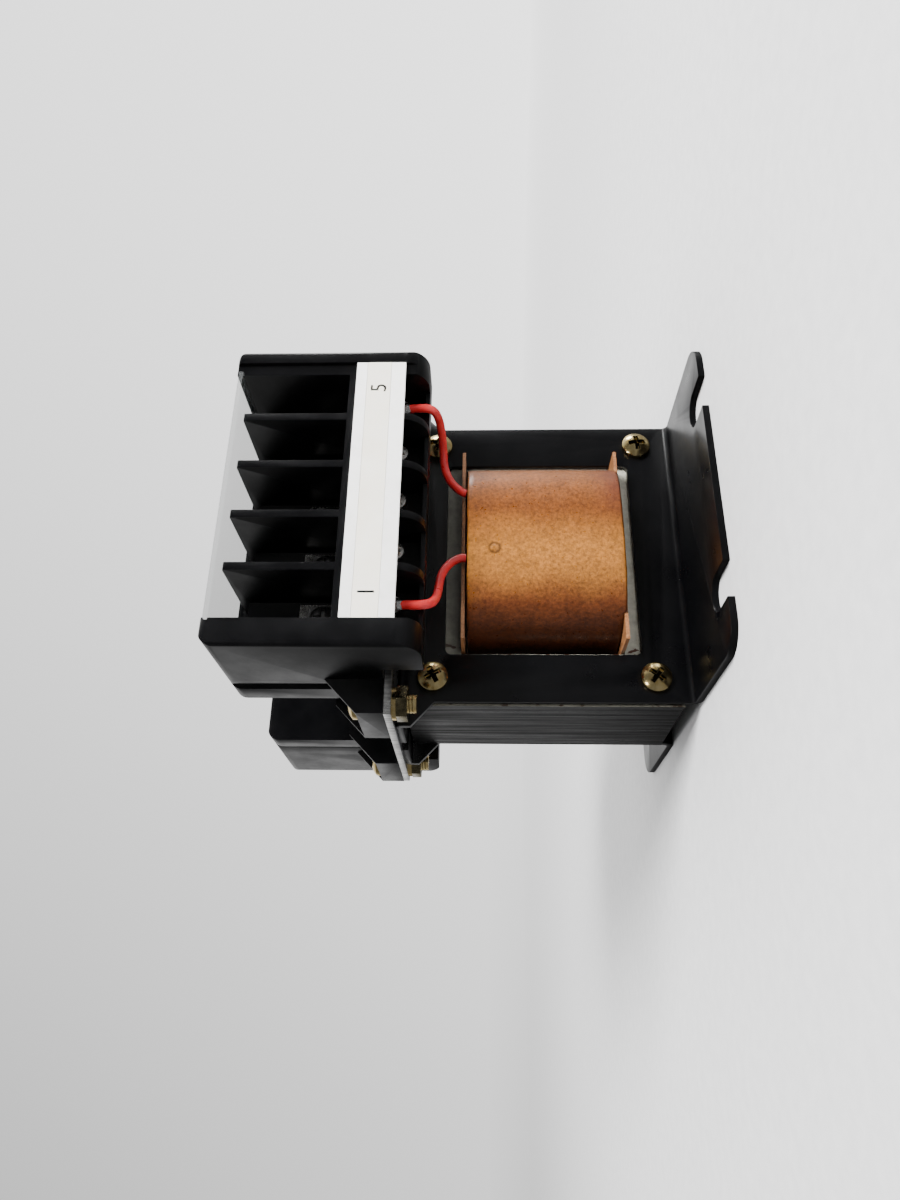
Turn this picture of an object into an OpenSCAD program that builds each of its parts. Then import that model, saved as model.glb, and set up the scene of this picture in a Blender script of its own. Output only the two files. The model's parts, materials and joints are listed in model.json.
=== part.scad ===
// Laminated chassis transformer, standing on its two bent feet.
// The origin lies on the mounting face, midway between the feet. +Z points up through the core
// to the terminal blocks, and the front side, with its marker strip, faces -Y.
// Both sides are drawn on +Y and mirrored, so "out" means away from the core along Y.

/* [Core] */
// Width of the centre leg, which sets every other size of the E and I laminations
tongue = 25.4; // [20:0.2:30]
// Thickness of the lamination stack
stack = 30.2; // [24:0.1:44]
// Diameter of the four holes through the laminations
core_hole_d = 4.6; // [4.4:0.1:5.2]
// Height of the core above the mounting face
core_lift = 3.5; // [1.8:0.1:6]

/* [Brackets] */
// Thickness of the bracket sheet
sheet_t = 1.5; // [1:0.1:2]
// Inside radius of the bend above each foot
foot_bend_r = 1.4; // [0.8:0.1:2.4]
// Inside radius of the bend over the core
top_bend_r = 0.3; // [0.1:0.05:0.6]
// Reach of each foot from the outer face of its bracket
foot_reach = 33.4; // [28:0.1:44]
// Radius of the free corners of each foot
foot_corner_r = 6.5; // [2:0.1:8]
// Width of the open mounting slots
slot_w = 8; // [5.2:0.1:9]
// Depth of the open mounting slots, from the free edge of the foot
slot_depth = 10.7; // [8:0.1:16]
// Distance between the two slots of a foot
slot_pitch = 46.2; // [36:0.2:50]
// Distance of the brackets' sides inside the sides of the core
bracket_inset = 0.5; // [0.2:0.1:1]
// How far the bracket window is wider than the core window, on each side
window_side = 0.6; // [0.4:0.1:1.2]
// Width of the lamination strip left bare above and below the coil
window_strip = 3.7; // [3:0.1:3.8]
// Corner radius of the bracket window
window_r = 1.5; // [0.5:0.1:3]
// How far each shoulder of the bracket stands out past the core
shoulder = 5.2; // [2:0.2:7]
// Gap left between the two flanges that fold over the core
flange_gap = 6; // [4:0.5:12]
// Diameter of the screw holes in the brackets
bracket_hole_d = 4.4; // [4.3:0.1:4.6]

/* [Coil] */
// Wall of the winding tube
tube_t = 1.2; // [0.8:0.1:1.6]
// Thickness of the pressboard end flanges
board_t = 0.8; // [0.5:0.1:1.2]
// How far the end flanges stand out of the brackets
board_out = 7.4; // [4:0.1:9]
// How far the crown of the coil stands out of the brackets
coil_out = 12.6; // [11:0.1:14]
// Gap between the coil and the outer legs of the core
coil_side_gap = 1.2; // [1:0.1:1.8]
// Gap between the coil and the upper end board
coil_top_gap = 0.6; // [0.3:0.1:1.5]
// Gap between the coil and the lower end board
coil_foot_gap = 0.1; // [0.1:0.1:1]
// Thickness of the primary winding
primary_t = 4; // [3:0.1:5]
// Thickness of the insulation between the windings
insulation_t = 0.6; // [0.4:0.1:1]
// Thickness of the outer paper wrap
wrap_t = 1; // [0.6:0.1:1.6]

/* [Terminal plate] */
// Thickness of the plate that carries both terminal blocks
plate_t = 1.6; // [1.2:0.1:2.4]
// How far the plate stands out past the brackets
plate_out = 11.9; // [10.5:0.1:12.8]

/* [Terminal blocks] */
// Number of poles on each block
poles = 5; // [4:1:6]
// Distance from pole to pole
pole_pitch = 12.6; // [11.8:0.1:14]
// Thickness of the thick end walls
end_t = 6.3; // [5:0.1:7.4]
// Height of a block above its plate
block_h = 35.4; // [32:0.1:40]
// Depth of a block, outward from the bracket face
block_d = 31.6; // [30:0.1:36]
// Depth of the base under the waist of a block
base_d = 6; // [5:0.1:8]
// How far the waist is drawn in on the end walls
waist = 1.4; // [0.6:0.1:2]
// Length of the curve from the waist out to the full width of the end walls
waist_run = 5.6; // [3:0.1:8]
// Radius of the upper outer corner of the end walls, seen from the side
crown_r = 1; // [0.6:0.1:3]
// Radius of the long upper edge of the end walls, seen from the front
brow_r = 3; // [1:0.1:3.2]
// Radius of the lower outer corner of the end walls and barriers
heel_r = 6; // [3:0.1:7]
// Radius of the long outer edges of the end walls
edge_r = 1.2; // [0.6:0.1:2.2]
// Thickness of the barriers between the poles
barrier_t = 1.8; // [1.2:0.1:2.4]
// How far the barriers lie below the outer face of the end walls
barrier_drop = 1; // [0.8:0.1:1.6]
// How far the barriers stop short of the top of the block
barrier_back = 2.8; // [2:0.1:4]
// Length of the tail that hangs below the plate on the lug side
tail_h = 8.8; // [8:0.1:10]
// Distance of the tail from the bracket face
tail_out = 18; // [17:0.1:19]
// Thickness of the tail's floor
tail_t = 1.5; // [1:0.1:2]
// Thickness of the tail's lower wall
tail_wall_t = 1; // [0.8:0.1:1.6]
// Height of the tail's lower wall over its floor
tail_wall_h = 4.2; // [3:0.1:4.2]
// Distance of the ledge's upper end from the top of the block
ledge_back = 4.8; // [4:0.1:6]
// Level of the ledge that carries the terminals
ledge_d = 14.7; // [14:0.1:15]
// Height of the cross wall beside the marker strip, over the plate
cross_wall_z = 7.6; // [7.4:0.1:8]
// Thickness of that cross wall
cross_wall_t = 1.7; // [1:0.1:2.2]

/* [Block ears] */
// Reach of each ear from the end wall
ear_reach = 7.6; // [7.4:0.1:10]
// Thickness of the ear's pad
ear_t = 5.8; // [4:0.1:7]
// Height of the ear's side webs where they meet the end wall
ear_web_h = 13; // [9:0.1:15]
// Thickness of the ear's side webs
ear_web_t = 1.2; // [0.8:0.1:1.3]
// Width of the ear
ear_w = 18; // [14:0.1:18]
// Outer side of the ear, from the bracket face
ear_out = 12.4; // [12:0.1:13.6]
// Diameter of the screw hole in the ear
ear_hole_d = 4.4; // [4.3:0.1:4.8]
// Distance of the ear screws from the end wall
ear_screw_x = 3.8; // [3.7:0.1:4.1]
// Distance of the ear screws from the bracket face
ear_screw_out = 7.4; // [5:0.1:7.5]

/* [Terminals] */
// Thickness of the terminal bars
bar_t = 1.2; // [0.8:0.1:1.4]
// Width of a terminal bar at its screw
bar_w = 8.6; // [7.8:0.1:9.4]
// Height of the terminal screws over the plate
screw_z = 13.3; // [13.2:0.1:16]
// Length of the bar above its screw
bar_above = 5.6; // [4.4:0.1:6.4]
// Height of the riser over the plate, where the bar turns outward to its solder lug
riser_z = 2.2; // [2.1:0.1:3]
// Level of the solder lug's outer face
lug_d = 25.4; // [24.6:0.1:26]
// Width of the solder lug
lug_w = 4.2; // [3.4:0.1:5]
// Length of the solder lug below the plate's upper face
lug_down = 4.3; // [3.4:0.1:5]
// Diameter of the wire hole in the solder lug
lug_hole_d = 1.6; // [1.2:0.1:2]
// Thread diameter of the terminal screws
screw_d = 3.5; // [3:0.1:3.6]
// Head diameter of the terminal screws
screw_head_d = 6; // [5.6:0.1:7]
// Head height of the terminal screws
screw_head_h = 2.6; // [2:0.1:3]
// Length of the terminal screws under the head
screw_len = 6; // [5:0.1:7]
// Side of the square washers under the terminal screws
square_washer = 7; // [6.8:0.1:7.8]
// Thickness of the square washers
square_washer_t = 0.9; // [0.6:0.1:1.2]

/* [Marker strips and covers] */
// Width of the marker strip
marker_w = 11.2; // [9:0.1:11.4]
// Thickness of the marker strip
marker_t = 1; // [0.8:0.1:1.4]
// How far the strip reaches into the end wall that it slides in from
marker_in_far = 2.8; // [1:0.1:3]
// How far the strip reaches into the other end wall
marker_in_near = 0.5; // [0.3:0.1:1.5]
// Width of the paper label in the strip
label_w = 5.4; // [4:0.1:7]
// Thickness of the paper label
label_t = 0.3; // [0.2:0.05:0.4]
// Distance of the label from the upper edge of the strip
label_off = 2.5; // [2:0.1:3]
// Thickness of the clear cover
cover_t = 1.1; // [0.8:0.05:1.2]
// Distance of the cover's outer edge from the face of the end walls
cover_inset = 0.4; // [0.2:0.1:1]
// Distance of the cover from the top of the block
cover_back = 0.4; // [0.3:0.05:0.6]
// Depth of the grooves that hold the cover in the end walls
groove_d = 0.9; // [0.6:0.05:1.2]

/* [Fasteners] */
// Thread diameter of the screws through the core and the ears
bolt_d = 4; // [3.8:0.05:4.2]
// Head diameter of those screws
bolt_head_d = 7; // [6.6:0.1:7.4]
// Head height of those screws
bolt_head_h = 2.6; // [2.2:0.1:3]
// Width of the nuts across their flats
nut_af = 7; // [6.6:0.1:7.2]
// Height of the nuts
nut_h = 2.4; // [2.2:0.1:3.4]
// Outer diameter of the spring washers
spring_d = 7.2; // [6.8:0.1:7.4]
// Thickness of the spring washers
spring_t = 0.9; // [0.8:0.1:1.2]
// Thread left standing past the nuts of the core screws
core_bolt_past = 2; // [0.5:0.1:4]
// Thread left standing past the nuts of the ear screws
ear_bolt_past = 1.9; // [0.5:0.1:4]
// Width of the cross recess in the screw heads
recess_w = 1; // [0.6:0.1:1.2]
// Length of the cross recess in the screw heads
recess_len = 3.8; // [3:0.1:4.4]
// Depth of the cross recess in the screw heads
recess_depth = 1.5; // [1:0.1:1.8]

/* [Leads] */
// Outer diameter of the insulated leads
lead_d = 2; // [1.6:0.1:2]

/* [Hidden] */
$fn = 48;
// Clearance between pieces that slide together
slip = 0.1;
// Overshoot of a cutting tool past the face that it cuts
cut = 1;
// Room round and past the terminal screws in the block
pocket_slack = 0.8;
// Number of straight steps in a quarter turn of a drawn outline
arc_steps = 8;

// Lamination sizes, all multiples of the tongue as on scrapless E and I plates
leg = tongue / 2;
core_w = 3 * tongue;
core_h = 2.5 * tongue;
core_window_h = 1.5 * tongue;
core_mid = core_lift + core_h / 2;
core_top = core_lift + core_h;
core_hole_x = 1.25 * tongue;
core_hole_z = tongue;
seam_z = core_lift + leg;

// Outer face of the brackets, measured from the middle of the core
half_t = stack / 2 + sheet_t;
bracket_x = core_w / 2 - bracket_inset;
flange_z = core_top + top_bend_r;
plate_z = flange_z + sheet_t;
plate_top = plate_z + plate_t;

// Bobbin and windings
window_lo = seam_z;
window_hi = seam_z + core_window_h;
tube_x = tongue / 2 + slip + tube_t;
tube_y = stack / 2 + slip + tube_t;
board_x = tongue - 3 * slip;
board_y = half_t + board_out;
board_lo = window_lo + slip;
board_hi = window_hi - slip - board_t;
coil_lo = board_lo + board_t + coil_foot_gap;
coil_hi = board_hi - coil_top_gap;
coil_x = tongue - coil_side_gap;
coil_y = half_t + coil_out;
ply = 0.05;
// Exponents of the rounded coil outline, squarer near the tube
inner_round = 6;
outer_round = 3.5;
outline_steps = 72;

// Terminal block
inner_x = (poles * pole_pitch - barrier_t) / 2;
block_x = inner_x + end_t;
barrier_d = block_d - barrier_drop;
barrier_top = block_h - barrier_back;
waist_d = base_d + waist_run;
body_top = block_h - ledge_back;
cover_z = block_h - cover_back - cover_t;
cover_d = block_d - cover_inset;
ear_x = block_x + ear_reach;
ear_in = ear_out - ear_w;
ear_bolt_x = block_x + ear_screw_x;
bar_top = screw_z + bar_above;
pocket_d = screw_d + pocket_slack;
pocket_deep = screw_len - square_washer_t - bar_t + pocket_slack;
marker_hi = cross_wall_z;
marker_lo = marker_hi - marker_w;

// Routes of the two leads on one side, from solder lug to coil, written for the front
// Diameter of the round tube is lead_d, and the rings lie at these points.
route_first = [
    [25.2, -41.4, 66.1], [25.2, -41.6, 64.9], [25.1, -41.8, 63.5], [25, -41.8, 61.9], [24.8, -40.8, 60.4],
    [24.4, -38.2, 59.5], [23.8, -34.8, 59.1], [22.9, -31.4, 58.9], [21.5, -28.7, 58.8],
    [19.4, -26.9, 58.6], [17, -26.2, 57.9], [14.8, -26, 56.7], [13.2, -26, 55.3], [12.2, -26, 54.1],
    [11.8, -26, 53.1]
];
route_last = [
    [-25.2, -41.4, 66.1], [-25.2, -41.6, 64.9], [-25.3, -41.8, 63.5], [-25.2, -41.8, 61.8],
    [-24.5, -40.9, 60.4], [-23.1, -39.2, 59.6], [-20.9, -36.8, 59.2], [-18.2, -34.2, 59],
    [-15.2, -31.6, 58.9], [-12.2, -29.2, 58.7], [-9.5, -27.4, 58], [-7.4, -26.4, 56.8],
    [-6.2, -26, 55.3], [-5.8, -26, 54.1], [-5.8, -26, 53.1]
];
lead_sides = 8;

// ---- shared helpers -------------------------------------------------------------------------

// Points of an arc about centre c
function arc(c, r, from, to) =
    [for (i = [0:arc_steps]) c + r * [cos(from + (to - from) * i / arc_steps),
                                      sin(from + (to - from) * i / arc_steps)]];

// Outline of a wound coil: a rounded box of half sizes a and b
function sgn_pow(v, e) = sign(v) * pow(abs(v), e);
function coil_outline(a, b, e) =
    [for (i = [0:outline_steps - 1]) [a * sgn_pow(cos(360 * i / outline_steps), 2 / e),
                                      b * sgn_pow(sin(360 * i / outline_steps), 2 / e)]];

// Puts what is drawn outward from a bracket face at y = 0 on the front or rear side. The rear
// side is the front one turned half round.
module front_side() {
    mirror([0, 1, 0])
        translate([0, half_t, 0])
            children();
}

module rear_side() {
    mirror([1, 0, 0])
        translate([0, half_t, 0])
            children();
}

// Extrudes a (y, z) outline along X, centred
module across(width) {
    rotate([90, 0, 90])
        linear_extrude(width, center = true)
            children();
}

// Extrudes an (x, z) outline along Y, from y0 to y1
module through(y0, y1) {
    translate([0, y1, 0])
        rotate([90, 0, 0])
            linear_extrude(y1 - y0)
                children();
}

module at_core_holes() {
    for (x = [-core_hole_x, core_hole_x], z = [-core_hole_z, core_hole_z])
        translate([x, 0, core_mid + z])
            children();
}

// ---- core -----------------------------------------------------------------------------------

module core_holes() {
    at_core_holes()
        rotate([90, 0, 0])
            cylinder(h = stack + 2 * cut, d = core_hole_d, center = true);
}

module e_laminations() {
    color("dimgray")
        difference() {
            through(-stack / 2, stack / 2)
                difference() {
                    translate([-core_w / 2, seam_z])
                        square([core_w, core_h - leg]);
                    for (s = [-1, 1])
                        translate([s * 0.75 * tongue - leg / 2, seam_z - cut])
                            square([leg, core_window_h + cut]);
                }
            core_holes();
        }
}

module i_laminations() {
    color("dimgray")
        difference() {
            through(-stack / 2, stack / 2)
                translate([-core_w / 2, core_lift])
                    square([core_w, leg]);
            core_holes();
        }
}

// ---- brackets -------------------------------------------------------------------------------

// Quarter ring of sheet in the (y, z) plane, with its centre at the origin
module sheet_ring(r) {
    difference() {
        circle(r + sheet_t);
        circle(r);
    }
}

// Section of the bent sheet: foot, upright and the flange that folds over the core
module bracket_section() {
    translate([foot_bend_r, 0])
        square([foot_reach - foot_bend_r, sheet_t]);
    intersection() {
        translate([foot_bend_r, foot_bend_r + sheet_t])
            sheet_ring(foot_bend_r);
        translate([-sheet_t, 0])
            square([foot_bend_r + sheet_t, foot_bend_r + sheet_t]);
    }
    translate([-sheet_t, foot_bend_r + sheet_t])
        square([sheet_t, core_top - foot_bend_r - sheet_t]);
    intersection() {
        translate([-sheet_t - top_bend_r, core_top])
            sheet_ring(top_bend_r);
        translate([-sheet_t - top_bend_r, core_top])
            square([sheet_t + top_bend_r, sheet_t + top_bend_r]);
    }
    translate([flange_gap / 2 - half_t, flange_z])
        square([half_t - flange_gap / 2 - sheet_t - top_bend_r, sheet_t]);
}

// Front view of the blank: straight sides that flare out at the shoulders
module bracket_front() {
    shoulder_z = core_top - sheet_t - shoulder;
    polygon([[-bracket_x, -cut], [bracket_x, -cut], [bracket_x, shoulder_z],
             [core_w / 2 + shoulder, shoulder_z + shoulder], [core_w / 2 + shoulder, plate_z + cut],
             [-core_w / 2 - shoulder, plate_z + cut], [-core_w / 2 - shoulder, shoulder_z + shoulder],
             [-bracket_x, shoulder_z]]);
}

module bracket_window() {
    w = 2 * (tongue + window_side);
    h = core_window_h + 2 * window_strip;
    translate([-w / 2 + window_r, core_mid - h / 2])
        square([w - 2 * window_r, h]);
    translate([-w / 2, core_mid - h / 2 + window_r])
        square([w, h - 2 * window_r]);
    for (x = [-1, 1], z = [-1, 1])
        translate([x * (w / 2 - window_r), core_mid + z * (h / 2 - window_r)])
            circle(window_r);
}

// Open slot cut into the free edge of the foot, in plan
module foot_slot() {
    translate([-slot_w / 2, foot_reach - slot_depth + slot_w / 2])
        square([slot_w, slot_depth]);
    translate([0, foot_reach - slot_depth + slot_w / 2])
        circle(d = slot_w);
}

// What is cut off a free corner of the foot to round it
module foot_corner() {
    difference() {
        translate([bracket_x - foot_corner_r, foot_reach - foot_corner_r])
            square(foot_corner_r + cut);
        translate([bracket_x - foot_corner_r, foot_reach - foot_corner_r])
            circle(foot_corner_r);
    }
}

module bracket() {
    difference() {
        intersection() {
            across(core_w + 2 * shoulder)
                bracket_section();
            through(-half_t, foot_reach + cut)
                bracket_front();
        }
        through(-sheet_t - cut, cut)
            bracket_window();
        at_core_holes()
            rotate([90, 0, 0])
                cylinder(h = 4 * sheet_t, d = bracket_hole_d, center = true);
        translate([0, 0, -cut])
            linear_extrude(sheet_t + 2 * cut) {
                for (s = [-1, 1]) {
                    translate([s * slot_pitch / 2, 0])
                        foot_slot();
                    mirror([s < 0 ? 1 : 0, 0])
                        foot_corner();
                }
            }
    }
}

module front_bracket() {
    color([0.05, 0.05, 0.06])
        front_side()
            bracket();
}

module rear_bracket() {
    color([0.05, 0.05, 0.06])
        rear_side()
            bracket();
}

module terminal_plate() {
    color("silver")
        difference() {
            translate([-ear_x, -half_t - plate_out, plate_z])
                cube([2 * ear_x, 2 * (half_t + plate_out), plate_t]);
            at_ear_bolts(plate_z - cut)
                cylinder(h = plate_t + 2 * cut, d = ear_hole_d);
        }
}

// ---- bobbin and windings --------------------------------------------------------------------

module winding_tube() {
    color("tan")
        difference() {
            translate([-tube_x, -tube_y, board_lo])
                cube([2 * tube_x, 2 * tube_y, board_hi + board_t - board_lo]);
            translate([tube_t - tube_x, tube_t - tube_y, board_lo - cut])
                cube([2 * (tube_x - tube_t), 2 * (tube_y - tube_t), core_window_h + 2 * cut]);
        }
}

module end_board(z) {
    color("saddlebrown")
        translate([0, 0, z])
            linear_extrude(board_t)
                difference() {
                    square([2 * board_x, 2 * board_y], center = true);
                    square([2 * (tube_x + ply), 2 * (tube_y + ply)], center = true);
                }
}

module upper_end_board() {
    end_board(board_hi);
}

module lower_end_board() {
    end_board(board_lo);
}

// One layer of the coil, drawn round whatever outline lies inside it
module layer(outline) {
    translate([0, 0, coil_lo])
        linear_extrude(coil_hi - coil_lo)
            difference() {
                polygon(outline);
                children();
            }
}

module primary_outline(grow) {
    polygon(coil_outline(tube_x + primary_t + grow, tube_y + primary_t + grow, inner_round));
}

module primary_winding() {
    color("firebrick")
        layer(coil_outline(tube_x + primary_t, tube_y + primary_t, inner_round))
            square([2 * (tube_x + ply), 2 * (tube_y + ply)], center = true);
}

module winding_insulation() {
    grow = primary_t + insulation_t;
    color("wheat")
        layer(coil_outline(tube_x + grow, tube_y + grow, inner_round))
            primary_outline(ply);
}

module secondary_winding() {
    color("chocolate")
        layer(coil_outline(coil_x - wrap_t, coil_y - wrap_t, outer_round))
            primary_outline(insulation_t + ply);
}

module coil_wrap() {
    inside = ply - wrap_t;
    color("peru")
        layer(coil_outline(coil_x, coil_y, outer_round))
            polygon(coil_outline(coil_x + inside, coil_y + inside, outer_round));
}

// ---- terminal blocks ------------------------------------------------------------------------

// Side view of an end wall, as (y, z)
module end_wall_side() {
    polygon(concat(
        [[0, 0], [tail_out, 0], [tail_out, -tail_h]],
        arc([block_d - heel_r, heel_r - tail_h], heel_r, -90, 0),
        arc([block_d - crown_r, block_h - crown_r], crown_r, 0, 90),
        arc([crown_r / 2, block_h - crown_r / 2], crown_r / 2, 90, 180)));
}

// Plan of the right end wall, as (x, y), with its drawn-in waist and rounded edge
module end_wall_plan() {
    rise = waist_d - base_d;
    r = (rise * rise + waist * waist) / (2 * waist);
    turn = asin(rise / r);
    polygon(concat(
        [[inner_x, 0], [block_x, 0], [block_x, base_d]],
        arc([block_x - r, waist_d], r, -turn, 0),
        arc([block_x - edge_r, block_d - edge_r], edge_r, 0, 90),
        [[inner_x, block_d]]));
}

// Front view of the right end wall, as (x, z), with its rounded upper edge
module end_wall_front() {
    polygon(concat(
        [[inner_x, -tail_h], [block_x, -tail_h]],
        arc([block_x - brow_r, block_h - brow_r], brow_r, 0, 90),
        [[inner_x, block_h]]));
}

module end_wall() {
    intersection() {
        through(-cut, block_d + cut)
            end_wall_front();
        translate([0, 0, -tail_h])
            linear_extrude(block_h + tail_h)
                end_wall_plan();
        across(2 * (block_x + cut))
            end_wall_side();
    }
}

// Side view of the channel between the end walls: base, ledge and the tail under the lugs
module channel_side() {
    floor_d = tail_out + tail_t;
    polygon(concat(
        [[0, 0], [tail_out, 0], [tail_out, -tail_h],
         [floor_d + tail_wall_h, -tail_h], [floor_d + tail_wall_h, tail_wall_t - tail_h],
         [floor_d, tail_wall_t - tail_h], [floor_d, riser_z - slip], [ledge_d, riser_z - slip],
         [ledge_d, body_top], [base_d, body_top], [base_d, block_h]],
        arc([crown_r / 2, block_h - crown_r / 2], crown_r / 2, 90, 180)));
}

module barrier_side() {
    tip_r = 0.4;
    polygon(concat(
        [[base_d, 0], [tail_out, 0], [tail_out, -tail_h]],
        arc([barrier_d - heel_r, heel_r - tail_h], heel_r, -90, 0),
        arc([barrier_d - tip_r, barrier_top - tip_r], tip_r, 0, 90),
        [[base_d, barrier_top]]));
}

module cross_wall() {
    translate([-inner_x, tail_out, cross_wall_z])
        cube([2 * inner_x, barrier_d - tail_out, cross_wall_t]);
}

// Ear at the right end: a pad between two sloping webs
module ear() {
    root_x = block_x - end_t / 2;
    translate([root_x, ear_in, 0])
        cube([ear_x - root_x, ear_w, ear_t]);
    for (y0 = [ear_in, ear_out - ear_web_t])
        through(y0, y0 + ear_web_t)
            polygon([[root_x, 0], [ear_x, 0], [ear_x, ear_t], [block_x, ear_web_h],
                     [root_x, ear_web_h]]);
}

// Bolt positions of the ears of one block, from its bracket face
module at_side_ears(z) {
    for (s = [-1, 1])
        translate([s * ear_bolt_x, ear_screw_out, z])
            children();
}

// Bolt positions of the ears of both blocks
module at_ear_bolts(z) {
    rear_side()
        at_side_ears(z)
            children();
    front_side()
        at_side_ears(z)
            children();
}

function pole_x(i) = (i - (poles - 1) / 2) * pole_pitch;

module terminal_block() {
    difference() {
        union() {
            for (s = [0, 1])
                mirror([s, 0, 0]) {
                    end_wall();
                    ear();
                }
            across(2 * inner_x)
                channel_side();
            for (i = [1:poles - 1])
                translate([pole_x(i) - pole_pitch / 2, 0, 0])
                    across(barrier_t)
                        barrier_side();
            cross_wall();
        }
        at_side_ears(-cut)
            cylinder(h = ear_t + 2 * cut, d = ear_hole_d);
        for (i = [0:poles - 1])
            translate([pole_x(i), ledge_d - pocket_deep, screw_z])
                rotate([-90, 0, 0])
                    cylinder(h = pocket_deep + cut, d = pocket_d);
        translate([-inner_x - groove_d, base_d, cover_z - slip])
            cube([2 * (inner_x + groove_d), block_d, cover_t + 2 * slip]);
        translate([-inner_x - marker_in_near, barrier_d, -tail_h - cut])
            cube([2 * inner_x + marker_in_near + marker_in_far, block_d, tail_h + block_h + 2 * cut]);
    }
}

module on_plate() {
    translate([0, 0, plate_top])
        children();
}

module front_terminal_block() {
    color([0.08, 0.08, 0.09])
        front_side()
            on_plate()
                terminal_block();
}

module rear_terminal_block() {
    color([0.08, 0.08, 0.09])
        rear_side()
            on_plate()
                terminal_block();
}

// ---- terminals ------------------------------------------------------------------------------

// One terminal bar: screw end on the ledge, riser, and a round-ended solder lug
module terminal_bar() {
    difference() {
        union() {
            translate([-bar_w / 2, ledge_d, riser_z])
                cube([bar_w, bar_t, bar_top - riser_z]);
            translate([-lug_w / 2, ledge_d, riser_z])
                cube([lug_w, lug_d - ledge_d, bar_t]);
            translate([-lug_w / 2, lug_d - bar_t, lug_w / 2 - lug_down])
                cube([lug_w, bar_t, riser_z + bar_t + lug_down - lug_w / 2]);
            translate([0, lug_d, lug_w / 2 - lug_down])
                rotate([90, 0, 0])
                    cylinder(h = bar_t, d = lug_w);
        }
        translate([0, ledge_d - cut, screw_z])
            rotate([-90, 0, 0])
                cylinder(h = bar_t + 2 * cut, d = screw_d + slip);
        translate([0, lug_d + cut, lug_w / 2 - lug_down])
            rotate([90, 0, 0])
                cylinder(h = bar_t + 2 * cut, d = lug_hole_d);
    }
}

module at_poles() {
    on_plate()
        for (i = [0:poles - 1])
            translate([pole_x(i), 0, 0])
                children();
}

module front_terminals() {
    color("lightgray")
        front_side()
            at_poles()
                terminal_bar();
}

module rear_terminals() {
    color("lightgray")
        rear_side()
            at_poles()
                terminal_bar();
}

// Pan head screw with a cross recess, head up, with its seat at z = 0
module pan_screw(d, head_d, head_h, length) {
    rim = 0.45 * head_h;
    dome_r = (head_d * head_d / 4 + (head_h - rim) * (head_h - rim)) / (2 * (head_h - rim));
    translate([0, 0, -length])
        cylinder(h = length, d = d);
    difference() {
        intersection() {
            cylinder(h = head_h, d = head_d);
            translate([0, 0, head_h - dome_r])
                sphere(dome_r);
        }
        for (a = [0, 90])
            rotate([0, 0, a])
                translate([-recess_len / 2, -recess_w / 2, head_h - recess_depth])
                    cube([recess_len, recess_w, recess_depth + cut]);
    }
}

module terminal_screw() {
    seat = ledge_d + bar_t + square_washer_t;
    translate([0, seat, screw_z])
        rotate([-90, 0, 0])
            pan_screw(screw_d, screw_head_d, screw_head_h, screw_len);
}

module front_terminal_screws() {
    color("gray")
        front_side()
            at_poles()
                terminal_screw();
}

module rear_terminal_screws() {
    color("gray")
        rear_side()
            at_poles()
                terminal_screw();
}

module square_washer_piece() {
    difference() {
        translate([-square_washer / 2, ledge_d + bar_t, screw_z - square_washer / 2])
            cube([square_washer, square_washer_t, square_washer]);
        translate([0, ledge_d, screw_z])
            rotate([-90, 0, 0])
                cylinder(h = bar_t + square_washer_t + cut, d = screw_d + slip);
    }
}

module front_square_washers() {
    color("lightgray")
        front_side()
            at_poles()
                square_washer_piece();
}

module rear_square_washers() {
    color("lightgray")
        rear_side()
            at_poles()
                square_washer_piece();
}

// ---- marker strips and covers ---------------------------------------------------------------

// Outline of the strip: it slides in from the end wall at +X
module marker_blank() {
    translate([slip - inner_x - marker_in_near, barrier_d, marker_lo])
        cube([2 * (inner_x - slip) + marker_in_near + marker_in_far, marker_t, marker_w]);
}

module label_blank(grow) {
    translate([-block_x, barrier_d + marker_t - label_t, marker_hi - label_off - label_w - grow])
        cube([2 * block_x, label_t + grow, label_w + 2 * grow]);
}

module marker_strip() {
    on_plate()
        difference() {
            marker_blank();
            label_blank(ply);
        }
}

module marker_label() {
    on_plate()
        intersection() {
            label_blank(0);
            marker_blank();
        }
}

module front_marker_strip() {
    color("white")
        front_side()
            marker_strip();
}

module rear_marker_strip() {
    color("white")
        rear_side()
            marker_strip();
}

module front_marker_label() {
    color("ivory")
        front_side()
            marker_label();
}

module rear_marker_label() {
    color("ivory")
        rear_side()
            marker_label();
}

module cover() {
    half = inner_x + groove_d - slip;
    on_plate()
        translate([-half, base_d, cover_z])
            cube([2 * half, cover_d - base_d, cover_t]);
}

module front_cover() {
    color("lightcyan", 0.4)
        front_side()
            cover();
}

module rear_cover() {
    color("lightcyan", 0.4)
        rear_side()
            cover();
}

// ---- fasteners ------------------------------------------------------------------------------

// Screw through a pack, head up, that takes a spring washer and a nut under the pack
module bolt(pack, past) {
    pan_screw(bolt_d, bolt_head_d, bolt_head_h, pack + spring_t + nut_h + past);
}

module spring_washer() {
    slit = 0.8;
    difference() {
        cylinder(h = spring_t, d = spring_d);
        translate([0, 0, -cut])
            cylinder(h = spring_t + 2 * cut, d = bolt_d + 2 * slip);
        translate([0, -slit / 2, -cut])
            cube([spring_d, slit, spring_t + 2 * cut]);
    }
}

module nut() {
    difference() {
        rotate([0, 0, 30])
            cylinder(h = nut_h, d = nut_af / cos(30), $fn = 6);
        translate([0, 0, -cut])
            cylinder(h = nut_h + 2 * cut, d = bolt_d + slip);
    }
}

// Turns what is drawn with +Z as "toward the head" so that the head faces the front
module at_core_bolts(depth) {
    at_core_holes()
        translate([0, depth, 0])
            rotate([90, 0, 0])
                children();
}

module core_screws() {
    color("khaki")
        at_core_bolts(-half_t)
            bolt(2 * half_t, core_bolt_past);
}

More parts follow.
